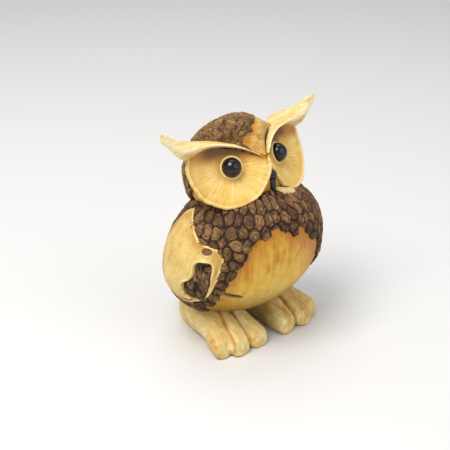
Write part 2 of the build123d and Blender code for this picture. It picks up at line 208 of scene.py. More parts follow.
def outline_distance(a, b, outline):
    """Signed distance of (a, b) to a closed outline, positive inside."""
    start, end = outline, np.roll(outline, -1, axis=0)
    best = np.full(a.shape, 1e9)
    inside = np.zeros(a.shape, bool)
    for (ax, ay), (bx, by) in zip(start, end):
        dx, dy = bx - ax, by - ay
        t = np.clip(((a - ax) * dx + (b - ay) * dy) / (dx * dx + dy * dy), 0, 1)
        best = np.minimum(best, np.hypot(a - ax - t * dx, b - ay - t * dy))
        crosses = (ay > b) != (by > b)
        inside ^= crosses & (a < (bx - ax) * (b - ay) / (by - ay + 1e-12) + ax)
    return np.where(inside, best, -best)


# ---------------------------------------------------------------- meshes from grids
def make_piece(name, verts, faces, layers=None):
    """Mesh object from points in owl millimetres; faces are turned outwards by the sign of the volume."""
    verts = np.asarray(verts, float)
    volume = 0.0
    for face in faces:
        if isinstance(face, np.ndarray):
            a, b, c = verts[face[:, 0]], verts[face[:, 1]], verts[face[:, 2]]
            volume += np.einsum("ij,ij->i", a, np.cross(b, c)).sum()
            if face.shape[1] == 4:
                volume += np.einsum("ij,ij->i", a, np.cross(c, verts[face[:, 3]])).sum()
    polygons = []
    for face in faces:
        rows = face.tolist() if isinstance(face, np.ndarray) else [face]
        polygons += rows if volume > 0 else [row[::-1] for row in rows]
    mesh = bpy.data.meshes.new(name)
    mesh.from_pydata((verts * UNIT).tolist(), [], polygons)
    for layer, values in (layers or {}).items():
        data = mesh.attributes.new(layer, "FLOAT", "POINT").data
        data.foreach_set("value", np.ascontiguousarray(values, np.float32).ravel())
    mesh.update()
    mesh.shade_smooth()
    piece = bpy.data.objects.new(name, mesh)
    bpy.context.scene.collection.objects.link(piece)
    return piece


def grid_faces(index, wrap=False):
    """Quads of a grid of vertex numbers, closed round its second direction if wrap."""
    if wrap:
        index = np.concatenate([index, index[:, :1]], axis=1)
    return np.stack([index[:-1, :-1], index[1:, :-1], index[1:, 1:], index[:-1, 1:]], axis=-1).reshape(-1, 4)


def tube(name, rings, layers=None):
    """Closed piece from rings of points (rings, around, 3), with a middle point closing each end."""
    count, around = rings.shape[:2]
    index = np.arange(count * around).reshape(count, around)
    verts = np.concatenate([rings.reshape(-1, 3), rings[0].mean(0)[None], rings[-1].mean(0)[None]])
    first, last = count * around, count * around + 1
    ring0, ring1 = index[0], index[-1]
    cap0 = np.stack([np.full(around, first), ring0, np.roll(ring0, -1)], axis=1)
    cap1 = np.stack([np.full(around, last), np.roll(ring1, -1), ring1], axis=1)
    full = {k: np.concatenate([v.ravel(), [v[0].mean(), v[-1].mean()]]) for k, v in (layers or {}).items()}
    return make_piece(name, verts, [grid_faces(index, True), cap0, cap1], full)


def shell(name, outer, inner, step, layers=None):
    """Closed shell: a fine outer grid, a coarse inner grid of every step-th point, and side walls between."""
    rows, columns = outer.shape[:2]
    fine = np.arange(rows * columns).reshape(rows, columns)
    coarse_rows, coarse_columns = inner.shape[:2]
    coarse = rows * columns + np.arange(coarse_rows * coarse_columns).reshape(coarse_rows, coarse_columns)
    faces = [grid_faces(fine), grid_faces(coarse)[:, ::-1]]
    for i in range(coarse_rows - 1):
        run = slice(i * step, (i + 1) * step + 1)
        faces.append(fine[run, 0][::-1].tolist() + [coarse[i, 0], coarse[i + 1, 0]])
        faces.append(fine[run, -1].tolist() + [coarse[i + 1, -1], coarse[i, -1]])
    for j in range(coarse_columns - 1):
        run = slice(j * step, (j + 1) * step + 1)
        faces.append(fine[0, run].tolist() + [coarse[0, j + 1], coarse[0, j]])
        faces.append(fine[-1, run][::-1].tolist() + [coarse[-1, j], coarse[-1, j + 1]])
    faces = [[int(v) for v in f] if isinstance(f, list) else f for f in faces]
    full = {k: np.concatenate([v.ravel(), v[::step, ::step].ravel()]) for k, v in (layers or {}).items()}
    return make_piece(name, np.concatenate([outer.reshape(-1, 3), inner.reshape(-1, 3)]), faces, full)


def settle(piece, slot, *nodes):
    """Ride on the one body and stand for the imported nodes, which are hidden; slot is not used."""
    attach(piece, "root")
    if nodes:
        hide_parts(*nodes)
    return piece


# ---------------------------------------------------------------- base forms
def egg(turn, share):
    """Body surface. share runs from -1, the bottom, through 0, the widest level, to 1, the top.
    Half sizes shrink as the root of one less a power of share, and the middles lean forward."""
    share = np.clip(share, -0.9998, 0.9998)
    power = np.where(share < 0, BELLY_FULLNESS, SHOULDER_FULLNESS)
    span = np.where(share < 0, BODY_WIDEST - BODY_BOTTOM, BODY_TOP - BODY_WIDEST)
    size = np.sqrt(1 - np.abs(share) ** power)
    middle = BODY_CENTRE_Y - BODY_LEAN * share * span
    x = BODY_HALF_WIDTH * size * np.sin(turn)
    y = middle - BODY_HALF_DEPTH * size * np.cos(turn)
    return np.stack([x, y, BODY_WIDEST + share * span], axis=-1)


def outward(form, u, v):
    """Outward normals of a form of two parameters, from small steps both ways."""
    e = 1e-3
    n = np.cross(form(u + e, v) - form(u - e, v), form(u, v + e) - form(u, v - e))
    return unit(n)


def share_at(level):
    """The share of the body's height that lies at a level."""
    return np.where(level < BODY_WIDEST, (level - BODY_WIDEST) / (BODY_WIDEST - BODY_BOTTOM),
                    (level - BODY_WIDEST) / (BODY_TOP - BODY_WIDEST))


def hem_depth(turn_degrees, level):
    """How far a place on the body lies above the torn hem, measured square to it."""
    here = np.interp(turn_degrees, HEM[:, 0], HEM[:, 1])
    ahead = np.interp(turn_degrees + 1.5, HEM[:, 0], HEM[:, 1])
    behind = np.interp(turn_degrees - 1.5, HEM[:, 0], HEM[:, 1])
    slope = (ahead - behind) / (math.radians(3.0) * BODY_HALF_WIDTH * 0.9)
    return (level - here) / np.sqrt(1 + slope ** 2)


def disc_axes(side):
    """Middle, outward, upward and facing directions of a face disc."""
    facing = np.array([side * math.sin(DISC_TURN) * math.cos(DISC_TILT),
                       -math.cos(DISC_TURN) * math.cos(DISC_TILT), math.sin(DISC_TILT)])
    out = np.array([side * math.cos(DISC_TURN), math.sin(DISC_TURN), 0.0])
    up = np.cross(facing, out) * side
    return DISC_CENTRE * (side, 1, 1), out, up, facing


def brow_limit(x, z):
    """How far forward the forehead may come: it slopes back from the crest of the brow."""
    y = np.interp(np.abs(x), CREST[:, 0], CREST[:, 1])
    level = np.interp(np.abs(x), CREST[:, 0], CREST[:, 2])
    return y + FOREHEAD_SLOPE * (z - level)



def head(turn, polar):
    """Head surface: an ellipsoid, turn from the front and polar from the top, cut back above the brows."""
    p = HEAD_CENTRE + HEAD_HALF * np.stack(
        [np.sin(turn) * np.sin(polar), -np.cos(turn) * np.sin(polar), np.cos(polar)], axis=-1)
    limit = brow_limit(p[..., 0], p[..., 2])
    gap = p[..., 1] - limit
    p[..., 1] = limit + 0.5 * (gap + np.sqrt(gap ** 2 + 0.8))
    return p


# ---------------------------------------------------------------- materials
RIND_HI, RIND_MID, RIND_LO = (0.27, 0.142, 0.054), (0.105, 0.050, 0.018), (0.032, 0.013, 0.005)
BARK_HI, BARK_MID, BARK_LO = (0.40, 0.235, 0.10), (0.20, 0.105, 0.038), (0.07, 0.030, 0.010)
FLESH_HI, FLESH_MID, FLESH_LO = (0.72, 0.50, 0.11), (0.66, 0.39, 0.042), (0.47, 0.18, 0.008)
LEAF_HI, LEAF_MID, LEAF_LO = (0.76, 0.60, 0.25), (0.67, 0.47, 0.135), (0.42, 0.20, 0.028)
CREAM_HI, CREAM_MID, CREAM_LO = (0.80, 0.68, 0.38), (0.68, 0.49, 0.16), (0.46, 0.21, 0.026)
IVORY_HI, IVORY_MID, IVORY_LO = (0.80, 0.62, 0.27), (0.70, 0.46, 0.105), (0.45, 0.20, 0.030)


def painted(slot, colours, roughness, grain, grain_depth, coat=0.0, stretch=(1, 1, 1)):
    """Painted resin: wash 0..1 runs from the dark hollow colour over the middle to the rubbed ridge colour, lowered in
    places for painted shade.
    Fine noise breaks the paint up; the stain layer pulls it to the orange of the hollows and also lays orange-tinted
    painted shade, and the pit layer darkens specks and also lays dark painted shade."""
    low, middle, high = colours
    mat = bpy.data.materials.new(slot + "_paint")
    mat.use_nodes = True
    tree = mat.node_tree
    node, link = tree.nodes.new, tree.links.new
    shader = tree.nodes["Principled BSDF"]
    where = node("ShaderNodeTexCoord")
    scale = node("ShaderNodeMapping")
    scale.inputs["Scale"].default_value = stretch
    link(where.outputs["Object"], scale.inputs["Vector"])

    def cloud(size, detail, rough_share):
        n = node("ShaderNodeTexNoise")
        n.inputs["Scale"].default_value = 1.0 / (size * UNIT)
        n.inputs["Detail"].default_value = detail
        n.inputs["Roughness"].default_value = rough_share
        link(scale.outputs["Vector"], n.inputs["Vector"])
        return n.outputs["Fac"]

    def layer(name):
        n = node("ShaderNodeAttribute")
        n.attribute_name = name
        return n.outputs["Fac"]

    def maths(kind, a, b, c=0.0):
        n = node("ShaderNodeMath")
        n.operation = kind
        for socket, value in zip(n.inputs, (a, b, c)):
            if isinstance(value, (int, float)):
                socket.default_value = value
            else:
                link(value, socket)
        return n.outputs[0]

    def blend(share, a, b, kind="MIX"):
        n = node("ShaderNodeMix")
        n.data_type = "RGBA"
        n.blend_type = kind
        for socket, value in ((n.inputs["Factor"], share), (n.inputs[6], a), (n.inputs[7], b)):
            if isinstance(value, tuple):
                socket.default_value = (*value, 1.0)
            elif isinstance(value, (int, float)):
                socket.default_value = value
            else:
                link(value, socket)
        return n.outputs[2]

    coarse = cloud(grain * 6, 3.0, 0.55)
    fine = cloud(grain, 4.0, 0.6)
    tone = maths("ADD", layer("wash"), maths("MULTIPLY_ADD", fine, 0.7, -0.35))
    tone = maths("ADD", tone, maths("MULTIPLY_ADD", coarse, 0.5, -0.25))
    ramp = node("ShaderNodeValToRGB")
    ramp.color_ramp.interpolation = "EASE"
    ramp.color_ramp.elements[0].color = (*low, 1.0)
    ramp.color_ramp.elements[0].position = 0.05
    ramp.color_ramp.elements[1].color = (*high, 1.0)
    ramp.color_ramp.elements[1].position = 0.95
    ramp.color_ramp.elements.new(0.5).color = (*middle, 1.0)
    link(tone, ramp.inputs["Fac"])
    stain_and_shade_colour = tuple(np.clip(np.array(low) * (1.0, 0.92, 0.8), 0, 1).tolist())
    # Orange of stained hollows, also used as orange-tinted painted shade.
    colour = blend(layer("stain_and_shade"), ramp.outputs["Color"], stain_and_shade_colour)
    # Dark brown of pits, also used as dark painted shade.
    colour = blend(layer("pit_and_shade"), colour, PIT_AND_SHADE_COLOUR)
    link(colour, shader.inputs["Base Color"])
    gloss = maths("MULTIPLY_ADD", fine, 0.22, roughness - 0.11)
    link(gloss, shader.inputs["Roughness"])
    shader.inputs["IOR"].default_value = 1.47
    shader.inputs["Specular IOR Level"].default_value = 0.3
    shader.inputs["Coat Weight"].default_value = coat
    shader.inputs["Coat Roughness"].default_value = 0.38
    shader.inputs["Subsurface Weight"].default_value = 0.0
    bump = node("ShaderNodeBump")
    bump.inputs["Strength"].default_value = 0.24
    bump.inputs["Distance"].default_value = grain_depth * UNIT
    link(maths("ADD", fine, coarse), bump.inputs["Height"])
    link(bump.outputs["Normal"], shader.inputs["Normal"])
    return mat


def plain(slot, colour, roughness, coat=0.0):
    """Smooth enamel or polished glass of one colour."""
    mat = bpy.data.materials.new(slot + "_plain")
    mat.use_nodes = True
    shader = mat.node_tree.nodes["Principled BSDF"]
    shader.inputs["Base Color"].default_value = (*colour, 1.0)
    shader.inputs["Roughness"].default_value = roughness
    shader.inputs["IOR"].default_value = 1.5
    shader.inputs["Coat Weight"].default_value = coat
    shader.inputs["Coat Roughness"].default_value = 0.04
    return mat


PAINTS = {
    "rind": painted("rind", (RIND_LO, RIND_MID, RIND_HI), 0.66, 0.55, 0.2),
    "dark_rind": painted("dark_rind", ((0.03, 0.014, 0.006), (0.10, 0.05, 0.02), (0.26, 0.15, 0.07)), 0.6, 0.5, 0.2),
    "crown_rind": painted("crown_rind", (BARK_LO, BARK_MID, BARK_HI), 0.68, 0.6, 0.25),
    "scraped_flesh": painted("scraped_flesh", (FLESH_LO, FLESH_MID, FLESH_HI), 0.5, 0.5, 0.05, 0.2),
    "leaf": painted("leaf", (LEAF_LO, LEAF_MID, LEAF_HI), 0.5, 0.6, 0.05, 0.2),
    "foot_flesh": painted("foot_flesh", (CREAM_LO, CREAM_MID, CREAM_HI), 0.52, 0.7, 0.06, 0.15),
    "horn_cream": painted("horn_cream", (CREAM_LO, CREAM_MID, CREAM_HI), 0.52, 0.6, 0.06, 0.15),
    "ivory_disc": painted("ivory_disc", (IVORY_LO, IVORY_MID, IVORY_HI), 0.48, 0.5, 0.04, 0.2),
    "beak_black": plain("beak_black", (0.008, 0.007, 0.007), 0.25),
    "bead_glass": plain("bead_glass", (0.003, 0.003, 0.004), 0.05),
    "dowel_wood": painted("dowel_wood", ((0.36, 0.2, 0.09), (0.5, 0.32, 0.16), (0.6, 0.42, 0.24)), 0.6, 1.2, 0.05),
}


def paint(piece, name):
    piece.data.materials.clear()
    piece.data.materials.append(PAINTS[name])
    return piece


# ---------------------------------------------------------------- belly and body
def belly_piece():
    """Egg of scraped flesh. Its skin is pushed in and out by long upright ridges (noise stretched along the
    height), shallow dents, small pits, and a crack low on the owl's right side."""
    turn = np.linspace(0, TAU, 440, endpoint=False)[None, :]
    level = np.linspace(-0.9996, 0.97, 212)
    share = np.sign(level) * (1 - (1 - np.abs(level)) ** 1.5)
    share = share[:, None] + 0 * turn
    turn = turn + 0 * share
    base = egg(turn, share)
    normal = outward(egg, turn, share)
    squashed = base * (1, 1, 0.16)
    ridges = 0.6 * rough(squashed, 1.5, 11, 3) + 0.6 * rough(base * (1, 1, 0.08), 0.75, 15, 2)
    broad = rough(base, 11.0, 21, 3)
    pits = fade(0.70, 0.88, noise(base, 0.7, 31)) * fade(-0.1, 0.5, noise(base, 6.0, 33))
    low = fade(44, 26, base[..., 2])
    crack_top, crack_end = np.array([-26.5, -20.0, 30.2]), np.array([-19.0, -24.6, 26.9])
    run = crack_end - crack_top
    t = np.clip(((base - crack_top) @ run) / (run @ run), 0, 1)
    wander = 0.35 * noise(base, 1.4, 41)
    crack = np.linalg.norm(base - crack_top - t[..., None] * run, axis=-1) + wander
    crack = fade(1.3, 0.6, crack) * fade(0.0, 0.12, t) * fade(1.0, 0.88, t)
    lift = 0.20 * ridges + 0.24 * broad - 0.30 * pits - 0.9 * crack
    lift = lift * fade(-0.99, -0.9, share)
    front = np.degrees(np.arctan2(base[..., 0], -(base[..., 1] - BODY_CENTRE_Y)))
    depth = hem_depth(front, base[..., 2])
    # near: band just under the overhanging hem, painted shade tinted orange (lower wash, more stain).
    near = fade(-9.0, -0.8, depth)
    # side: orange stain plus painted shade on the owl's left flank, turned from the key light.
    side = fade(8, 36, front)
    wash = 0.42 + 0.24 * low + 0.42 * ridges + 0.16 * broad - 0.10 * near
    stain_and_shade = np.clip(0.72 * near + 0.5 * side * fade(0.0, 0.5, broad + 0.35) + 0.16 * fade(0.15, 0.7, -ridges), 0, 0.8)
    # Upper left flank: orange stain plus painted shade on the side turned from the key light.
    stain_and_shade = np.clip(stain_and_shade * (1 - 0.5 * low) + 0.85 * fade(10, 38, front) * fade(24, 38, base[..., 2]), 0, 0.9)
    # under: painted shade darkening the lower belly, laid in the pit layer.
    under = fade(33, 14, base[..., 2])
    skin = base + normal * lift[..., None]
    layers = {"wash": wash, "stain_and_shade": stain_and_shade, "pit_and_shade": np.clip(0.6 * pits + 0.9 * crack + 0.66 * under, 0, 1)}
    piece = tube("belly", skin, layers)
    paint(piece, "scraped_flesh")
    return settle(piece, "scraped_flesh", "belly_body")


# ---------------------------------------------------------------- rind
def plate_field(across, up, row_height, spacing, seed):
    """Rounded scales set in staggered rows: for every place, distance to its nearest scale middle,
    to the second nearest, and the middle's own place and number. Middles are jittered off the rows."""
    rng = np.random.default_rng(seed)
    rows = np.arange(np.floor(up.min() / row_height) - 1, np.ceil(up.max() / row_height) + 2)
    columns = np.arange(np.floor(across.min() / spacing) - 1, np.ceil(across.max() / spacing) + 2)
    r, c = np.meshgrid(rows, columns, indexing="ij")
    cu = (c + 0.5 * (np.mod(r, 2))) * spacing + rng.uniform(-0.28, 0.28, r.shape) * spacing
    cv = r * row_height + rng.uniform(-0.28, 0.28, r.shape) * row_height
    middles = np.stack([cu.ravel(), cv.ravel()], axis=1)
    flat_u, flat_v = across.ravel(), up.ravel()
    near = np.empty(flat_u.size)
    second = np.empty(flat_u.size)
    which = np.empty(flat_u.size, np.int64)
    chunk = 20000
    for start in range(0, flat_u.size, chunk):
        part = slice(start, start + chunk)
        d = np.hypot(flat_u[part, None] - middles[None, :, 0], flat_v[part, None] - middles[None, :, 1])
        order = np.argpartition(d, 1, axis=1)[:, :2]
        pair = np.take_along_axis(d, order, axis=1)
        swap = pair[:, 0] > pair[:, 1]
        near[part] = np.where(swap, pair[:, 1], pair[:, 0])
        second[part] = np.where(swap, pair[:, 0], pair[:, 1])
        which[part] = np.where(swap, order[:, 1], order[:, 0])
    shape = across.shape
    return near.reshape(shape), second.reshape(shape), which.reshape(shape), middles


def scales(across, up, p, seed):
    """Height of a scaly rind and its paint. Each scale is a low dome with rings round its middle and a deep
    groove along the border with the next scale; each stands a little higher or lower than its neighbours."""
    bend_u = across + 0.55 * noise(p, 3.2, seed + 1) + 0.25 * noise(p, 1.2, seed + 2)
    bend_v = up + 0.55 * noise(p, 3.2, seed + 3) + 0.25 * noise(p, 1.2, seed + 4)
    near, second, which, middles = plate_field(bend_u, bend_v, SCALE_ROW, SCALE_SPACING, seed)
    rng = np.random.default_rng(seed + 5)
    own = rng.uniform(-1, 1, len(middles))[which]
    border = second - near
    groove = fade(0.9, 0.1, border)
    rings = np.cos(near * TAU / (0.86 + 0.12 * own) + 2.0 * own)
    ring_share = fade(0.5, 1.0, near) * fade(0.2, 0.9, border)
    dome = 1 - (near / 3.4) ** 2
    fine = rough(p, 0.8, seed + 6, 3)
    lift = 0.55 * dome + 0.30 * own + 0.17 * rings * ring_share - 0.95 * groove + 0.30 * fine
    button = fade(0.75, 0.3, near)
    wash = 0.46 + 0.20 * rings * ring_share + 0.46 * fine + 0.20 * own - 0.45 * groove + 0.18 * button
    wash = wash + 0.22 * fade(0.25, 0.8, dome) * (1 - groove) - 0.1
    return lift, wash, which, middles


def chest_rind():
    """Scaly rind over the chest, shoulders and flanks. It stands off the egg by its own thickness; below the
    torn hem it dives under the flesh. Whole scales hang over the hem, which makes its edge scalloped."""
    turn = np.radians(np.linspace(-104, 104, 425))
    level = np.linspace(10.5, 68.3, 225)
    turn, z = np.meshgrid(turn, level)
    share = share_at(z)
    base = egg(turn, share)
    normal = outward(egg, turn, share)
    degrees = np.degrees(np.arctan2(base[..., 0], -(base[..., 1] - BODY_CENTRE_Y)))
    across = np.radians(degrees) * RIND_RADIUS
    lift, wash, which, middles = scales(across, z, base, 101)
    centre_degrees = np.degrees(middles[:, 0] / RIND_RADIUS)
    centre_depth = hem_depth(centre_degrees, middles[:, 1])
    kept = (centre_depth > -0.4)[which]
    depth = hem_depth(degrees, z) + 0.5 * noise(base, 1.6, 121) + 0.3 * noise(base, 0.7, 122)
    cover = np.where(kept, fade(-1.1, -0.5, depth + 0.9), fade(-0.25, 0.25, depth - 0.6))
    cover = cover * fade(1.6, 0.9, outline_distance(base[..., 1], z, closed_curve(WING_LEAF, 6)))
    streaks = rough(base * (1, 1, 0.22), 1.1, 131, 2)
    upright = fade(16, 34, degrees) * fade(0, 14, depth)
    lift = lift * (1 - 0.75 * upright) + 0.75 * streaks * upright
    wash = wash * (1 - 0.6 * upright) + (0.42 + 0.55 * streaks) * upright
    chip = fade(2.2, 0.2, depth) * fade(-0.1, 0.5, noise(base, 1.5, 141))
    height = 1.35 + 0.62 * lift - 0.5 * fade(1.6, 0.0, depth)
    height = np.where(cover > 0, height * cover - 1.0 * (1 - cover), -1.0)
    layers = {"wash": wash + 0.30 * chip - 0.22 * fade(3.5, 0.4, depth) * (1 - chip), "stain_and_shade": 0 * wash,
              "pit_and_shade": 0.5 * fade(0.45, 0.8, noise(base, 0.7, 151))}
    step = 8
    outer = behind_discs(base + normal * height[..., None], 0.7)
    inner = behind_discs((base - normal * 1.6)[::step, ::step], 2.0)
    piece = shell("chest_rind", outer, inner, step, layers)
    paint(piece, "rind")
    return settle(piece, "rind", "chest_mantle")


def back_rind():
    """Scaly rind over the back, from joint to joint, down to the hem above the tail and the heels."""
    turn = np.radians(np.linspace(94, 266, 385))
    level = np.linspace(10.5, 68.3, 217)
    turn, z = np.meshgrid(turn, level)
    share = share_at(z)
    base = egg(turn, share)
    normal = outward(egg, turn, share)
    across = (turn - math.pi) * RIND_RADIUS
    lift, wash, _, _ = scales(across, z, base, 201)
    depth = z - 12.6 + 0.6 * noise(base, 1.6, 221)
    cover = fade(-0.6, 0.4, depth)
    height = (1.2 + 0.62 * lift - 0.5 * fade(1.6, 0.0, depth)) * cover - 1.0 * (1 - cover)
    layers = {"wash": wash, "stain_and_shade": 0 * wash, "pit_and_shade": 0.5 * fade(0.45, 0.8, noise(base, 0.7, 251))}
    step = 8
    piece = shell("back_rind", base + normal * height[..., None], (base - normal * 1.6)[::step, ::step], step, layers)
    paint(piece, "rind")
    return settle(piece, "rind", "back_mantle")


# ---------------------------------------------------------------- tail
def tail_piece():
    """Short rind-covered tail behind: rings round a path that leans back, roughened like the rind."""
    lo, hi = node_box("tail")
    rise = np.linspace(0, 1, 90)
    half = (hi[0] - lo[0]) / 2
    knots = [0.0, 0.08, 0.42, 0.8, 1.0]
    width = curve_through(knots, [0.80, 0.84, 1.0, 0.93, 0.80], rise)[:, 0] * half
    end = hi[1] - curve_through(knots, [0.0, 0.4, 6.0, 9.4, 10.5], rise)[:, 0]
    around = np.linspace(0, TAU, 220, endpoint=False)
    close = np.sqrt(np.clip(1 - np.abs(2 * np.clip(rise, 0.0, 1.0) - 1) ** 14, 0.02, 1))
    x = np.outer(width * close, np.sin(around))
    middle = (end - half)[:, None]
    y = middle - np.outer(half * close, np.cos(around))
    z = np.broadcast_to((lo[2] + rise * (hi[2] + 1.2 - lo[2]))[:, None], x.shape)
    base = np.stack([x, y, z], axis=-1)
    lift, wash, _, _ = scales(base[..., 0] * 1.15, z + 0.35 * y, base, 301)
    out = np.stack([x, y - middle, 0 * x], axis=-1)
    out = out / (np.linalg.norm(out, axis=-1, keepdims=True) + 1e-9)
    skin = base + out * (0.42 * lift - 0.25)[..., None]
    piece = tube("tail_rind", skin, {"wash": wash, "stain_and_shade": 0 * wash, "pit_and_shade": 0 * wash})
    paint(piece, "rind")
    return settle(piece, "rind", "tail")


# ---------------------------------------------------------------- head
def bark(p, seed):
    """Knobbly bark: lumps of a few millimetres, sharper small lumps, and pits between them."""
    lumps = noise(p, 3.0, seed)
    cracks = 1 - 2.6 * fade(0.22, 0.0, np.abs(noise(p, 2.1, seed + 1)))
    small = 1 - 2.2 * fade(0.30, 0.0, np.abs(noise(p, 1.05, seed + 3)))
    tiny = noise(p, 0.55, seed + 2)
    return 0.42 * lumps + 0.26 * cracks + 0.22 * small + 0.22 * tiny - 0.12


def behind_discs(p, gap):
    """Points moved back along each disc's facing direction until they lie behind its dish by a gap."""
    for side in SIDES.values():
        centre, out, up, facing = disc_axes(side)
        local = p - centre
        rho = np.hypot(local @ out, local @ up) / DISC_RADIUS
        forward = local @ facing
        limit = -DISC_DISH * (1 - np.clip(rho, 0, 1) ** DISC_BOWL_POWER) - gap
        excess = np.where((rho < 1.02) & (side * p[..., 0] > -0.5), np.maximum(forward - limit, 0), 0)
        p = p - excess[..., None] * facing
    return p


def crown_edge_y(x):
    return np.interp(x, CROWN_EDGE[:, 0], CROWN_EDGE[:, 1])


def head_piece():
    """Scraped head under the rind: the head form a little inside its outer surface, finely ridged."""
    turn = np.linspace(0, TAU, 320, endpoint=False)[None, :]
    polar = np.linspace(0.003, math.pi - 0.003, 150)[:, None]
    turn, polar = turn + 0 * polar, polar + 0 * turn
    base = head(turn, polar)
    normal = outward(lambda u, v: head(v, u), polar, turn)
    normal *= np.sign(((base - HEAD_CENTRE) * normal).sum(-1, keepdims=True))
    ridge = rough(base * (1, 0.4, 0.4), 1.3, 401, 3)
    broad = rough(base, 7.0, 411, 2)
    skin = behind_discs(base + normal * (0.12 * ridge - 0.75)[..., None], 1.6)
    wash = 0.42 + 0.3 * ridge + 0.25 * broad
    front = fade(2.0, -8.0, base[..., 1]) * fade(95, 84, base[..., 2])
    piece = tube("head", skin, {"wash": wash - 0.25 * front, "stain_and_shade": 0.55 * front, "pit_and_shade": 0 * wash})
    paint(piece, "scraped_flesh")
    return settle(piece, "scraped_flesh", "head_core")


def crown_cap():
    """Crown laid out as a map over the top of the head: columns run from the owl's right to its left, rows
    from the forehead over the top and down the back, so that no pole falls in the bark."""
    across = np.linspace(-1.5, 1.5, 305)
    along = np.linspace(-0.98, 2.45, 305)
    across, along = np.meshgrid(across, along)
    direction = np.stack([np.sin(across), np.cos(across) * np.sin(along), np.cos(across) * np.cos(along)], axis=-1)
    base = HEAD_CENTRE + HEAD_HALF * direction
    limit = brow_limit(base[..., 0], base[..., 2])
    gap = base[..., 1] - limit
    base[..., 1] = limit + 0.5 * (gap + np.sqrt(gap ** 2 + 0.8))
    normal = unit(np.cross(np.gradient(base, axis=1), np.gradient(base, axis=0)))
    normal *= np.sign(((base - HEAD_CENTRE) * normal).sum(-1, keepdims=True))
    x, y = base[..., 0], base[..., 1]
    tear = 0.9 * noise(base, 2.4, 501) + 0.55 * noise(base, 1.1, 502) + 0.3 * noise(base, 0.55, 503)
    depth = y - crown_edge_y(x) + tear
    cover = fade(-0.35, 0.3, depth)
    knobs = bark(base, 511)
    broad = rough(base, 6.5, 521, 2)
    height = 0.35 + 1.05 * knobs + 0.35 * broad
    height = height * fade(-0.1, 2.2, depth) + 0.25 * fade(-0.1, 0.5, depth)
    height = height * cover - 1.7 * (1 - cover)
    wash = 0.38 + 0.62 * knobs + 0.25 * broad - 0.22 * fade(1.6, 0.3, depth)
    chip = fade(1.2, 0.1, depth) * fade(0.0, 0.4, noise(base, 1.2, 531))
    layers = {"wash": wash + 0.6 * chip, "stain_and_shade": 0 * wash, "pit_and_shade": 0.6 * fade(0.35, 0.75, noise(base, 0.9, 541))}
    step = 8
    outer = behind_discs(base + normal * height[..., None], 1.0)
    inner = behind_discs((base - normal * 2.2)[::step, ::step], 2.4)
    piece = shell("crown_bark", outer, inner, step, layers)
    paint(piece, "crown_rind")
    return settle(piece, "crown_rind", "crown")


def forehead_piece():
    """Pale scraped panel in front of the crown: a patch of the head form that stands proud of the head and is
    grooved along the way the scraper ran, from the nose up and out to the owl's left."""
    x0, x1 = -14.0, 24.0
    u, v = np.meshgrid(np.linspace(x0, x1, 241), np.linspace(0, 1, 161))
    start = np.interp(np.abs(u), CREST[:, 0], CREST[:, 1]) + 0.6
    y = start + v * (crown_edge_y(u) + 2.4 - start)
    inside = 1 - ((u - HEAD_CENTRE[0]) / HEAD_HALF[0]) ** 2 - ((y - HEAD_CENTRE[1]) / HEAD_HALF[1]) ** 2
    z = HEAD_CENTRE[2] + HEAD_HALF[2] * np.sqrt(np.clip(inside, 0.02, 1))
    crest_y = np.interp(np.abs(u), CREST[:, 0], CREST[:, 1])
    crest_z = np.interp(np.abs(u), CREST[:, 0], CREST[:, 2])
    slope = crest_z + (y - crest_y) / FOREHEAD_SLOPE
    z = 0.5 * (z + slope - np.sqrt((z - slope) ** 2 + 0.8))
    base = np.stack([u, y, z], axis=-1)
    normal = unit(np.cross(np.gradient(base, axis=1), np.gradient(base, axis=0)))
    normal *= np.sign(normal[..., 2:3])
    groove = rough(np.stack([u * 0.5 + y * 0.1, y * 0.6, z * 1.0], axis=-1), 1.0, 601, 3)
    broad = rough(base, 4.5, 611, 2)
    shade = fade(2.5, 0.2, crown_edge_y(u) - y)
    height = -0.25 + 0.32 * groove + 0.25 * broad + 0.8 * fade(4.0, 0.0, y - start) * fade(0.0, 3.0, u)
    wash = 0.40 + 0.42 * groove + 0.25 * broad - 0.15 * shade
    stain_and_shade = np.clip(0.42 + 0.55 * shade + 0.35 * fade(0.1, 0.6, -broad), 0, 1)
    layers = {"wash": wash, "stain_and_shade": stain_and_shade, "pit_and_shade": 0 * wash}
    step = 8
    outer = behind_discs(base + normal * height[..., None], 1.0)
    inner = behind_discs((base - normal * 2.0)[::step, ::step], 2.4)
    piece = shell("forehead_panel", outer, inner, step, layers)
    paint(piece, "horn_cream")
    return settle(piece, "horn_cream", "forehead")


# ---------------------------------------------------------------- wings
def side_place(side, y, z):
    """Place on the body's flank at a given y and level, and the outward direction there."""
    share = share_at(z)
    size = np.sqrt(1 - np.abs(np.clip(share, -0.99, 0.99)) ** np.where(share < 0, BELLY_FULLNESS, SHOULDER_FULLNESS))
    middle = BODY_CENTRE_Y - BODY_LEAN * share * np.where(share < 0, BODY_WIDEST - BODY_BOTTOM, BODY_TOP - BODY_WIDEST)
    across = np.clip((y - middle) / (BODY_HALF_DEPTH * size), -0.995, 0.995)
    x = side * BODY_HALF_WIDTH * size * np.sqrt(1 - across ** 2)
    base = np.stack([x, y, z], axis=-1)
    normal = unit(np.cross(np.gradient(base, axis=1), np.gradient(base, axis=0)))
    normal *= np.sign(normal[..., 0:1]) * side
    return base, normal


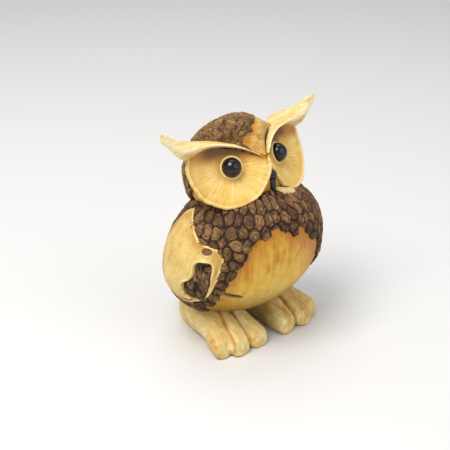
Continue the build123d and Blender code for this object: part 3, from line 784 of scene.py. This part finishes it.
def wing_piece(name, side):
    """Smooth leaf of scraped flesh on the flank. Its height is a bulge that falls off at the leaf's outline and
    at the open window in its lower part; along the back and the bottom a groove leaves a raised lip. Fine ridges
    follow the leaf's long way, and a flat oval knot sits near its top front."""
    y, z = np.meshgrid(np.linspace(-24.5, 13.5, 241), np.linspace(20.5, 61.5, 281))
    base, normal = side_place(side, y, z)
    wander = 0.22 * noise(base, 2.2, 701) + 0.12 * noise(base, 0.9, 702)
    smooth_leaf = closed_curve(WING_LEAF, 6)
    smooth_window = closed_curve(WING_WINDOW, 6)
    leaf = outline_distance(y, z, smooth_leaf) + wander
    window = -outline_distance(y, z, smooth_window) + wander
    edge = np.minimum(leaf, window)
    cover = fade(-0.25, 0.45, edge)
    bulge = 1 - np.exp(-np.maximum(leaf, 0) / 4.0)
    lower_back = fade(-0.2, 0.5, (y + 6.0) * 0.05 + (36.0 - z) * 0.05)
    groove = np.exp(-((leaf - 1.9 - 0.3 * noise(base, 4.0, 711)) / 0.5) ** 2) * lower_back
    ridges = rough(
        np.stack([base[..., 1] + 0.25 * base[..., 2], base[..., 2] * 0.16, 0 * y], axis=-1), 1.1, 721, 3)
    broad = rough(base, 6.0, 731, 2)
    pits = fade(0.76, 0.9, noise(base, 0.7, 741))
    knot_y, knot_z = -16.6, 49.2
    knot = np.hypot((y - knot_y) / 1.9, (z - knot_z) / 1.35) + 0.1 * noise(base, 0.8, 745)
    knot_in = fade(1.05, 0.85, knot)
    knot_rim = np.exp(-((knot - 1.15) / 0.16) ** 2)
    lip = np.exp(-((edge - 0.75) / 0.5) ** 2)
    height = (0.9 + 2.0 * bulge + 0.20 * ridges + 0.25 * broad + 0.45 * lip - 0.75 * groove - 0.25 * pits
              + 0.25 * knot_rim - 0.35 * knot_in)
    height = height * cover - 1.2 * (1 - cover)
    wash = 0.56 + 0.26 * ridges + 0.2 * broad + 0.30 * lip - 0.55 * groove + 0.4 * knot_rim * (1 - knot_in)
    stain_and_shade = 0.85 * groove + 0.35 * fade(0.7, 0.0, edge) * (1 - lip)
    stain_and_shade = stain_and_shade + 0.8 * fade(5.5, 1.2, leaf) * fade(-0.3, 0.4, broad + 0.35) * (1 - lip) + 0.4 * fade(1.0, 8.0, y)
    stain_and_shade = np.clip(stain_and_shade + 0.25 * fade(0.1, 0.6, -broad) + knot_in, 0, 1)
    layers = {"wash": wash, "stain_and_shade": stain_and_shade, "pit_and_shade": np.clip(0.72 * knot_in + 0.5 * pits, 0, 0.92)}
    step = 4
    outer = base + normal * height[..., None]
    inner = (base - normal * 1.7)[::step, ::step]
    piece = shell("wing_leaf_" + name, outer, inner, step, layers)
    paint(piece, "leaf")
    return settle(piece, "scraped_flesh", "wing_" + name)


def wing_bark_piece(name, side):
    """Coarse dark bark seen through the window of the wing, in broken upright ridges."""
    y, z = np.meshgrid(np.linspace(-20.5, -5.5, 121), np.linspace(27.5, 46.5, 145))
    base, normal = side_place(side, y, z)
    window = outline_distance(y, z, closed_curve(WING_WINDOW, 6))
    ridges = bark(base * (1, 1, 0.55), 801)
    lumps = rough(base, 1.6, 811, 3)
    height = 1.35 + 0.85 * ridges + 0.3 * lumps
    cover = fade(-0.9, 0.0, window)
    height = height * cover - 1.3 * (1 - cover)
    layers = {"wash": 0.40 + 0.75 * ridges + 0.3 * lumps, "stain_and_shade": 0 * y, "pit_and_shade": 0 * y}
    step = 6
    outer = base + normal * height[..., None]
    inner = (base - normal * 1.8)[::step, ::step]
    piece = shell("wing_window_bark_" + name, outer, inner, step, layers)
    paint(piece, "dark_rind")
    return settle(piece, "dark_rind", "wing_bark_" + name)


# ---------------------------------------------------------------- face
def disc_edge(angle, side):
    """Distance from the eye to the disc's edge along each direction in the rim's plane: the round rim below
    and outside, cut above by the crest of the brow and inside by the middle of the face."""
    centre, out, up, _ = disc_axes(side)
    eye = EYE * (side, 1, 1)
    e0 = np.array([(eye - centre) @ out, (eye - centre) @ up])
    ray = np.stack([np.cos(angle), np.sin(angle)], axis=-1)
    b = ray @ e0
    round_edge = -b + np.sqrt(b ** 2 + DISC_RADIUS ** 2 - e0 @ e0)
    reach = np.linspace(0.5, 22, 400)
    flat = e0 + ray[..., None, :] * reach[:, None]
    p = centre + flat[..., 0:1] * out + flat[..., 1:2] * up
    x = side * p[..., 0]
    crest = np.interp(x, CREST[:, 0], CREST[:, 2], left=78.0, right=92.0)
    crest = np.where(x > 22.0, crest - (x - 22.0) * 0.62, crest)
    allowed = (p[..., 2] < crest - 1.3) & (x > 0.45)
    stop = np.argmin(allowed, axis=-1)
    stop = np.where(allowed.all(axis=-1), len(reach) - 1, stop)
    return np.minimum(round_edge, reach[stop]), round_edge


def disc_piece(name, side):
    """Dished face disc, laid out as rings round the eye. Depth grows inwards from the rim as a power of the
    distance from the disc's middle; fine lines run out from the eye; the rim is a rounded, slightly wavy lip."""
    centre, out, up, facing = disc_axes(side)
    eye = EYE * (side, 1, 1)
    columns = 540
    angle = np.linspace(0, TAU, columns, endpoint=False)
    limit, round_edge = disc_edge(angle, side)
    window = np.hanning(25)
    window /= window.sum()
    limit = np.convolve(np.concatenate([limit[-12:], limit, limit[:12]]), window, mode="valid")
    seed_ring = np.stack([np.cos(angle) * 14, np.sin(angle) * 14, 0 * angle + side * 3], axis=-1)
    limit = limit + 0.42 * noise(seed_ring, 3.4, 901) + 0.16 * noise(seed_ring, 1.1, 902)
    rows = np.concatenate([np.linspace(0.16, 1.0, 130), [1.015, 1.02, 1.01, 0.97, 0.9, 0.75, 0.5, 0.25]])[:, None]
    back = np.concatenate([np.zeros(130), [0.35, 0.8, 1.3, 2.0, 2.6, 3.0, 3.2, 3.2]])[:, None]
    e0 = np.array([(eye - centre) @ out, (eye - centre) @ up])
    r = rows * limit
    a = e0[0] + r * np.cos(angle)
    b = e0[1] + r * np.sin(angle)
    rho = np.hypot(a, b) / DISC_RADIUS
    depth = -DISC_DISH * (1 - np.clip(rho, 0, 1) ** DISC_BOWL_POWER)
    on_rim = fade(0.88, 0.97, rows) * fade(0.97, 1.0, limit / round_edge)
    p = centre + a[..., None] * out + b[..., None] * up
    lines = np.stack([np.cos(angle) * 22 + 0 * r, np.sin(angle) * 22 + 0 * r, r * 0.22 + side * 5], axis=-1)
    striae = rough(lines, 1.25, 911, 3)
    broad = rough(p, 5.5, 921, 2)
    pits = fade(0.76, 0.9, noise(p, 0.6, 931)) * fade(0.97, 0.9, rows) * fade(-0.1, 0.4, noise(p, 4.0, 933))
    lip = np.exp(-((rows - 0.965) / 0.022) ** 2) * on_rim
    near_eye = fade(8.0, 5.0, r)
    lift = 0.15 * striae * fade(1.0, 0.9, rows) + 0.16 * broad + 0.42 * lip - 0.2 * pits
    lift = np.where(back > 0, 0, lift)
    skin = p + (depth + lift - back)[..., None] * facing
    # above: orange stain plus painted shade under the overhanging brow on the disc's upper half.
    above = fade(-1.5, 4.5, b + 0.8 * broad)
    wash = 0.58 + 0.26 * striae + 0.22 * broad + 0.42 * lip
    wash = np.where(back > 0, 0.75, wash)
    # Edge term: orange along the edges cut by the brow and the nose, painted shade where it lies under the brow.
    stain_and_shade = 0.95 * above * fade(-0.4, 0.3, broad + 0.5) + 0.45 * near_eye + 0.42 * fade(0.8, 0.99, rows) * (1 - on_rim)
    # brow_shade: dark painted shade just under the brow, laid in the pit layer.
    brow_shade = fade(1.4, 5.2, b + 0.9 * broad) * (1 - on_rim) * fade(14.5, 9.0, np.abs(a + 1.5))
    stain_and_shade = np.where(back > 0, 0.1, np.clip(stain_and_shade * (1 - lip), 0, 0.9))
    pit_and_shade = np.where(back > 0, 0, np.clip(0.6 * pits + 0.78 * brow_shade, 0, 1))
    piece = tube("face_disc_" + name, skin, {"wash": wash, "stain_and_shade": stain_and_shade, "pit_and_shade": pit_and_shade})
    paint(piece, "ivory_disc")
    return settle(piece, "ivory_disc", "disc_" + name)


# The horn's four lines from the nose out to the tip: distances out, then y and level at each.
LIP_OUT = (1.6, 8, 13, 18, 23, 28, 33, 37, 42.7)
REAR_OUT = (1.6, 8, 13, 18, 23, 28, 32, 36, 40, 42.7)
HORN_LINES = (
    (REAR_OUT, [(-15.8, 81.6), (-10.0, 84.8), (-7.0, 86.0), (-4.8, 86.3), (-2.8, 85.6),
                (-2.6, 84.0), (-3.6, 84.5), (-4.2, 87.3), (-4.0, 91.8), (-4.2, 93.4)]),
    (LIP_OUT, [(-17.0, 82.2), (-12.4, 85.7), (-9.5, 87.2), (-7.8, 88.1), (-7.0, 88.4),
               (-6.2, 88.2), (-5.6, 88.7), (-5.2, 90.6), (-4.6, 94.0)]),
    (REAR_OUT, [(-16.2, 82.8), (-10.8, 86.1), (-7.6, 87.9), (-5.4, 88.9), (-4.0, 89.7),
                (-3.0, 90.5), (-2.6, 91.7), (-3.0, 93.6), (-3.8, 95.8), (-4.2, 96.5)]),
    (REAR_OUT, [(-15.2, 82.4), (-9.4, 86.0), (-5.2, 87.6), (0.0, 88.0), (5.4, 87.4),
                (5.6, 88.4), (1.6, 90.0), (-1.4, 92.6), (-3.2, 95.2), (-3.8, 95.9)]),
)


def horn_piece(name, side):
    """Brow and ear horn: four curves run from the nose out to the ear tip, the lip that overhangs the disc, the
    top ridge, the rear and the underside; each section is a smooth closed curve through them."""
    x = np.linspace(1.6, 42.7, 240)
    knots = np.stack([curve_through(stations, line, x) for stations, line in HORN_LINES], axis=1)
    toward_tip = fade(33, 42.7, x)[:, None]
    knots[..., 0] += 1.3 * toward_tip
    knots[..., 1] += (0.7 if side < 0 else -0.3) * toward_tip
    x = x + 0.5 * toward_tip[:, 0]
    ring = closed_curve(knots, 36)
    count = ring.shape[1]
    taper = fade(0, 6, np.arange(len(x)))[:, None, None] * fade(0, 8, np.arange(len(x))[::-1])[:, None, None]
    middle = ring.mean(axis=1, keepdims=True)
    ring = middle + (ring - middle) * (0.12 + 0.88 * taper)
    rings = np.concatenate([np.broadcast_to(side * x[:, None, None], ring.shape[:2] + (1,)), ring], axis=-1)
    out = ring - middle
    out /= np.linalg.norm(out, axis=-1, keepdims=True) + 1e-9
    out = np.concatenate([0 * out[..., :1], out], axis=-1)
    lengthwise = rough(rings * (0.22, 1, 1), 1.1, 1001, 3)
    broad = rough(rings, 4.0, 1011, 2)
    skin = rings + out * (0.24 * lengthwise + 0.18 * broad)[..., None] * taper
    place = np.arange(count)[None, :] / count * 4 + 0 * x[:, None]
    on_front = fade(0.95, 0.2, np.abs(place - 0.5))
    edge = np.exp(-((place - 1.15) / 0.32) ** 2)
    # under and on_front on the inner horn: painted shade under the brow lip, tinted orange like the stain.
    under = fade(0.9, 0.3, np.minimum(place, 4 - place))
    inner = fade(30, 20, x)[:, None]
    wash = 0.58 + 0.42 * lengthwise + 0.20 * broad + 0.42 * edge + 0.22 * fade(30, 38, x)[:, None]
    stain_and_shade = 0.75 * under * inner + 0.30 * on_front * fade(36, 26, x)[:, None] + 0.18 * fade(0.1, 0.6, -broad)
    stain_and_shade = np.clip(stain_and_shade * (1 - 0.8 * edge), 0, 0.95)
    piece = tube("brow_and_horn_" + name, skin, {"wash": wash, "stain_and_shade": stain_and_shade, "pit_and_shade": 0 * wash})
    paint(piece, "horn_cream")
    return settle(piece, "horn_cream", "brow_horn_" + name)


def eye_pieces(name, side):
    """Polished bead with its glued-in stem, and the raised ring round it."""
    _, out, up, facing = disc_axes(side)
    eye = EYE * (side, 1, 1)
    polar = np.concatenate([np.linspace(0.012, math.pi - 0.2, 90), [math.pi - 0.2, math.pi - 0.2]])
    radius = EYE_RADIUS * np.sin(polar)
    along = EYE_RADIUS * np.cos(polar)
    along[-2:] = -EYE_RADIUS * math.cos(0.2), -EYE_RADIUS - 3.8
    around = np.linspace(0, TAU, 128, endpoint=False)
    rings = (eye + (radius[:, None] * np.cos(around))[..., None] * out
             + (radius[:, None] * np.sin(around))[..., None] * up + along[:, None, None] * facing)
    bead = tube("bead_eye_" + name, rings)
    paint(bead, "bead_glass")
    settle(bead, "bead_glass", "eye_" + name)

    around = np.linspace(0, TAU, 240)
    section = np.linspace(0, TAU, 28, endpoint=False)
    turn = around[:-1, None] + 0 * section
    wave = np.stack([np.cos(turn) * 5, np.sin(turn) * 5, section + 0 * turn], axis=-1)
    thick = 0.45 + 0.07 * noise(wave, 2.0, 1101)
    reach = EYE_RADIUS + 0.38 + thick * np.cos(section)
    depth = -0.55 + 1.25 * thick * np.sin(section)
    ring = (eye + (reach * np.cos(turn))[..., None] * out + (reach * np.sin(turn))[..., None] * up
            + depth[..., None] * facing)
    index = np.arange(ring.shape[0] * ring.shape[1]).reshape(ring.shape[:2])
    index = np.concatenate([index, index[:1]], axis=0)
    wash = 0.95 + 0.25 * noise(wave, 1.5, 1111)
    piece = make_piece("eye_ring_cast_" + name, ring.reshape(-1, 3), [grid_faces(index, True)],
                       {"wash": wash, "stain_and_shade": 0 * wash, "pit_and_shade": 0 * wash})
    paint(piece, "ivory_disc")
    settle(piece, "ivory_disc", "eye_ring_" + name)


def beak_piece():
    """Glossy beak: a rounded bump at the root, then a long straight keeled blade that narrows to its tip."""
    z = np.array([77.2, 76.9, 76.2, 75.2, 74.2, 73.2, 71.6, 70.0, 68.8, 67.9, 67.4])
    middle = np.array([-19.4, -19.7, -20.2, -20.5, -20.6, -20.6, -20.8, -21.1, -21.5, -21.8, -22.0])
    half = np.array([0.25, 1.05, 1.75, 2.0, 1.85, 1.55, 1.38, 1.12, 0.82, 0.45, 0.14])
    deep = np.array([0.3, 1.1, 1.9, 2.2, 2.05, 1.8, 1.75, 1.6, 1.25, 0.75, 0.2])
    t = np.linspace(0, 1, 110)
    knots = np.linspace(0, 1, len(z))
    z, middle, half, deep = (curve_through(knots, v, t)[:, 0] for v in (z, middle, half, deep))
    around = np.linspace(0, TAU, 64, endpoint=False)
    keel = 1 + 0.16 * np.exp(-((around - math.pi) / 0.35) ** 2)
    x = np.outer(half, np.sin(around) * keel)
    y = middle[:, None] + np.outer(deep, np.cos(around) * keel)
    piece = tube("beak_blade", np.stack([x, y, z[:, None] + 0 * x], axis=-1))
    paint(piece, "beak_black")
    return settle(piece, "beak_black", "beak")


def chin_piece():
    """Cream ruff of flesh that shows under the left disc beside the beak."""
    x = np.linspace(1.1, 13.6, 90)
    knots = [1.1, 4.0, 7.5, 11.0, 13.6]
    y = curve_through(knots, [-20.8, -21.8, -22.2, -21.8, -20.9], x)[:, 0]
    z = curve_through(knots, [68.4, 66.8, 65.6, 64.8, 64.4], x)[:, 0]
    deep = curve_through(knots, [0.7, 2.1, 2.5, 1.9, 0.3], x)[:, 0]
    tall = curve_through(knots, [0.9, 2.0, 2.1, 1.7, 0.3], x)[:, 0]
    around = np.linspace(0, TAU, 96, endpoint=False)
    rings = np.stack([x[:, None] + 0 * around, y[:, None] + np.outer(deep, np.cos(around)),
                      z[:, None] + np.outer(tall, np.sin(around))], axis=-1)
    ridge = rough(rings * (0.3, 1, 1), 1.0, 1201, 3)
    out = np.stack([0 * rings[..., 0], rings[..., 1] - y[:, None], rings[..., 2] - z[:, None]], axis=-1)
    skin = rings + 0.08 * out * ridge[..., None]
    piece = tube("chin_ruff_cast", skin, {"wash": 0.7 + 0.3 * ridge, "stain_and_shade": 0.15 + 0 * ridge, "pit_and_shade": 0 * ridge})
    paint(piece, "horn_cream")
    return settle(piece, "horn_cream", "chin_ruff")


# ---------------------------------------------------------------- feet
# Ridge of each toe of the left foot from the ankle to the tip: x, y, top, half width.
TOE_RIDGES = [
    [(15.0, 4.0, 20.0, 4.6), (18.4, -4.0, 16.8, 5.2),
     (22.2, -11.6, 12.6, 5.4), (24.8, -17.6, 9.4, 5.2), (26.0, -21.6, 6.6, 4.2)],
    [(13.8, 2.0, 20.0, 4.4), (15.8, -7.0, 16.8, 5.0),
     (17.6, -15.0, 12.6, 5.3), (18.6, -21.0, 9.4, 5.1), (19.0, -24.9, 6.4, 4.1)],
    [(11.6, 2.0, 20.0, 4.6), (10.6, -7.0, 16.6, 5.2), (9.6, -15.0, 12.2, 5.6),
     (8.8, -21.0, 9.0, 5.3), (8.4, -24.9, 6.2, 4.2)],
]
# Sole block of the left foot from heel to ball: y, middle x, half width, top.
PALM = [(19.0, 13.0, 3.6, 7.0), (14.0, 13.6, 7.0, 19.0), (5.0, 14.6, 9.4, 21.0), (-4.0, 15.6, 9.6, 17.0),
        (-12.0, 16.6, 9.8, 9.0), (-17.5, 17.2, 8.0, 4.6)]
FOOT_VOXEL = 0.42


def foot_rings(x, y, top, half, around=48):
    """Rings of a form that lies on the ground: each section is an ellipse whose lowest part is cut off flat."""
    turn = np.linspace(0, TAU, around, endpoint=False)
    z = top[:, None] * (0.46 + 0.54 * np.cos(turn))
    return np.stack([x[:, None] + half[:, None] * np.sin(turn), y[:, None] + 0 * turn, np.maximum(z, 0)], axis=-1)


def foot_piece(name, side):
    """Three-toed foot: toe ridges and the sole block are lofted, fused by a fine remesh and smoothed; then the
    skin is pushed in along the furrows between toes and lightly ridged along their length."""
    verts, faces, offset = [], [], 0
    parts = [np.array(PALM)[:, [1, 0, 3, 2]]] + [np.array(r) for r in TOE_RIDGES]
    lines = []
    for row in parts:
        knots = np.linspace(0, 1, len(row))
        s = curve_through(knots, row, np.linspace(0, 1, 60))
        s[-6:, 2:] *= np.sqrt(np.linspace(1, 0.05, 6))[:, None]
        rings = foot_rings(s[:, 0] * side, s[:, 1], s[:, 2], s[:, 3])
        lines.append(s)
        n, m = rings.shape[:2]
        index = np.arange(n * m).reshape(n, m) + offset
        verts += [rings.reshape(-1, 3), rings[0].mean(0)[None], rings[-1].mean(0)[None]]
        first = offset + n * m
        faces += [grid_faces(index, True).tolist()]
        faces += [[[first, a, b] for a, b in zip(index[0], np.roll(index[0], -1))]]
        faces += [[[first + 1, b, a] for a, b in zip(index[-1], np.roll(index[-1], -1))]]
        offset = first + 2
    rough_mesh = bpy.data.meshes.new("foot_rough")
    rough_mesh.from_pydata(np.concatenate(verts).tolist(), [], [[int(v) for v in f] for group in faces for f in group])
    rough_mesh.update()
    draft = bpy.data.objects.new("foot_rough", rough_mesh)
    bpy.context.scene.collection.objects.link(draft)
    remesh = draft.modifiers.new("fuse", "REMESH")
    remesh.mode = "VOXEL"
    remesh.voxel_size = FOOT_VOXEL
    soften = draft.modifiers.new("soften", "SMOOTH")
    soften.factor, soften.iterations = 0.5, 6
    ready = draft.evaluated_get(bpy.context.evaluated_depsgraph_get())
    mesh = bpy.data.meshes.new_from_object(ready)
    count = len(mesh.vertices)
    p = np.empty(count * 3)
    mesh.vertices.foreach_get("co", p)
    p = p.reshape(-1, 3)
    n = np.empty(count * 3)
    mesh.vertex_normals.foreach_get("vector", n)
    n = n.reshape(-1, 3)
    bpy.data.objects.remove(draft)
    gaps = []
    for s in lines[1:]:
        line = np.stack([s[:, 0] * side, s[:, 1]], axis=-1)
        gaps.append(np.min(np.hypot(p[:, None, 0] - line[None, :, 0], p[:, None, 1] - line[None, :, 1]), axis=1))
    gaps = np.sort(np.stack(gaps), axis=0)
    furrow = fade(2.0, 0.0, gaps[1] - gaps[0]) * fade(7.5, 5.5, gaps[0]) * fade(0.0, 0.5, n[:, 2] + 0.5)
    ridge = rough(p * (1, 0.3, 0.6), 1.2, 1301, 3)
    broad = rough(p, 5.0, 1311, 2)
    lift = 0.34 * ridge + 0.26 * broad - 0.6 * furrow
    lift = lift * fade(0.0, 0.8, p[:, 2])
    p = p + n * lift[:, None]
    p[:, 2] = np.maximum(p[:, 2], 0)
    high = fade(5.5, 13.0, p[:, 2])
    wash = 0.54 + 0.40 * ridge + 0.25 * broad - 0.25 * furrow
    stain_and_shade = 0.55 * furrow + 0.12 * high + 0.5 * fade(1.6, 0.0, p[:, 2]) + 0.30 * fade(0.0, 0.6, -broad)
    stain_and_shade = np.clip(stain_and_shade, 0, 0.85)
    mesh.vertices.foreach_set("co", (p * UNIT).ravel())
    for layer, values in (("wash", wash), ("stain_and_shade", stain_and_shade), ("pit_and_shade", 0 * wash)):
        data = mesh.attributes.new(layer, "FLOAT", "POINT").data
        data.foreach_set("value", np.ascontiguousarray(values, np.float32))
    mesh.update()
    mesh.shade_smooth()
    piece = bpy.data.objects.new("foot_cast_" + name, mesh)
    bpy.context.scene.collection.objects.link(piece)
    paint(piece, "foot_flesh")
    return settle(piece, "foot_flesh", "foot_" + name)


# ---------------------------------------------------------------- build
belly_piece()
chest_rind()
back_rind()
tail_piece()
head_piece()
crown_cap()
forehead_piece()
beak_piece()
chin_piece()
for side_name, side_sign in SIDES.items():
    wing_piece(side_name, side_sign)
    wing_bark_piece(side_name, side_sign)
    disc_piece(side_name, side_sign)
    horn_piece(side_name, side_sign)
    eye_pieces(side_name, side_sign)
    foot_piece(side_name, side_sign)


# ---------------------------------------------------------------- floor, light and camera
def stage_floor():
    """Large pale sheet that the owl stands on."""
    half = 3.0
    mesh = bpy.data.meshes.new("floor")
    mesh.from_pydata([(-half, -half, 0), (half, -half, 0), (half, half, 0), (-half, half, 0)], [], [(0, 1, 2, 3)])
    floor = bpy.data.objects.new("floor", mesh)
    bpy.context.scene.collection.objects.link(floor)
    mat = bpy.data.materials.new("floor_paper")
    mat.use_nodes = True
    shader = mat.node_tree.nodes["Principled BSDF"]
    shader.inputs["Base Color"].default_value = (0.70, 0.70, 0.70, 1)
    shader.inputs["Roughness"].default_value = 0.9
    shader.inputs["Specular IOR Level"].default_value = 0.1
    mesh.materials.append(mat)


def area_light(name, azimuth, elevation, distance, size, power, colour):
    """Soft square light aimed at the middle of the owl."""
    light = bpy.data.lights.new(name, "AREA")
    light.size = size
    light.energy = power
    light.color = colour
    lamp = bpy.data.objects.new(name, light)
    bpy.context.scene.collection.objects.link(lamp)
    a, e = math.radians(azimuth), math.radians(elevation)
    aim = Vector((0, 0, 0.048))
    away = Vector((math.sin(a) * math.cos(e), -math.cos(a) * math.cos(e), math.sin(e)))
    lamp.location = aim + away * distance
    lamp.rotation_euler = (-away).to_track_quat("-Z", "Y").to_euler()


CAMERA_AZIMUTH, CAMERA_ELEVATION = math.radians(-42.6), math.radians(24.2)
CAMERA_DISTANCE = 446.0
CAMERA_LENS = 83.0


def set_camera():
    """Camera at the owl's right front, looking slightly down."""
    a, e = CAMERA_AZIMUTH, CAMERA_ELEVATION
    back = Vector((math.sin(a) * math.cos(e), -math.cos(a) * math.cos(e), math.sin(e)))
    right = Vector((math.cos(a), math.sin(a), 0))
    up = back.cross(right)
    aim = Vector((0, 5.0, 45.0)) - right * 1.5 - up * 0.7
    data = bpy.data.cameras.new("camera")
    data.lens = CAMERA_LENS
    data.sensor_width = 36.0
    camera = bpy.data.objects.new("camera", data)
    bpy.context.scene.collection.objects.link(camera)
    camera.location = (aim + back * CAMERA_DISTANCE) * UNIT
    camera.rotation_euler = back.to_track_quat("Z", "Y").to_euler()
    bpy.context.scene.camera = camera


bpy.context.scene.view_settings.view_transform = "Standard"
stage_floor()
area_light("key", -84, 58, 0.75, 0.42, 5.0, (1.0, 0.97, 0.93))
area_light("fill", 15, 28, 0.9, 0.8, 2.0, (0.95, 0.97, 1.0))
area_light("top", 150, 65, 0.8, 0.5, 1.5, (1.0, 1.0, 1.0))
world = bpy.data.worlds.new("studio")
world.use_nodes = True
world.node_tree.nodes["Background"].inputs["Color"].default_value = (1.0, 1.0, 1.0, 1)
world.node_tree.nodes["Background"].inputs["Strength"].default_value = 0.55
bpy.context.scene.world = world
set_camera()

for wooden in ("neck_dowel", "foot_dowel_right", "foot_dowel_left"):
    for part in bpy.data.objects:
        if part.type == "MESH" and part.name.split(".")[0] == wooden:
            paint(part, "dowel_wood")
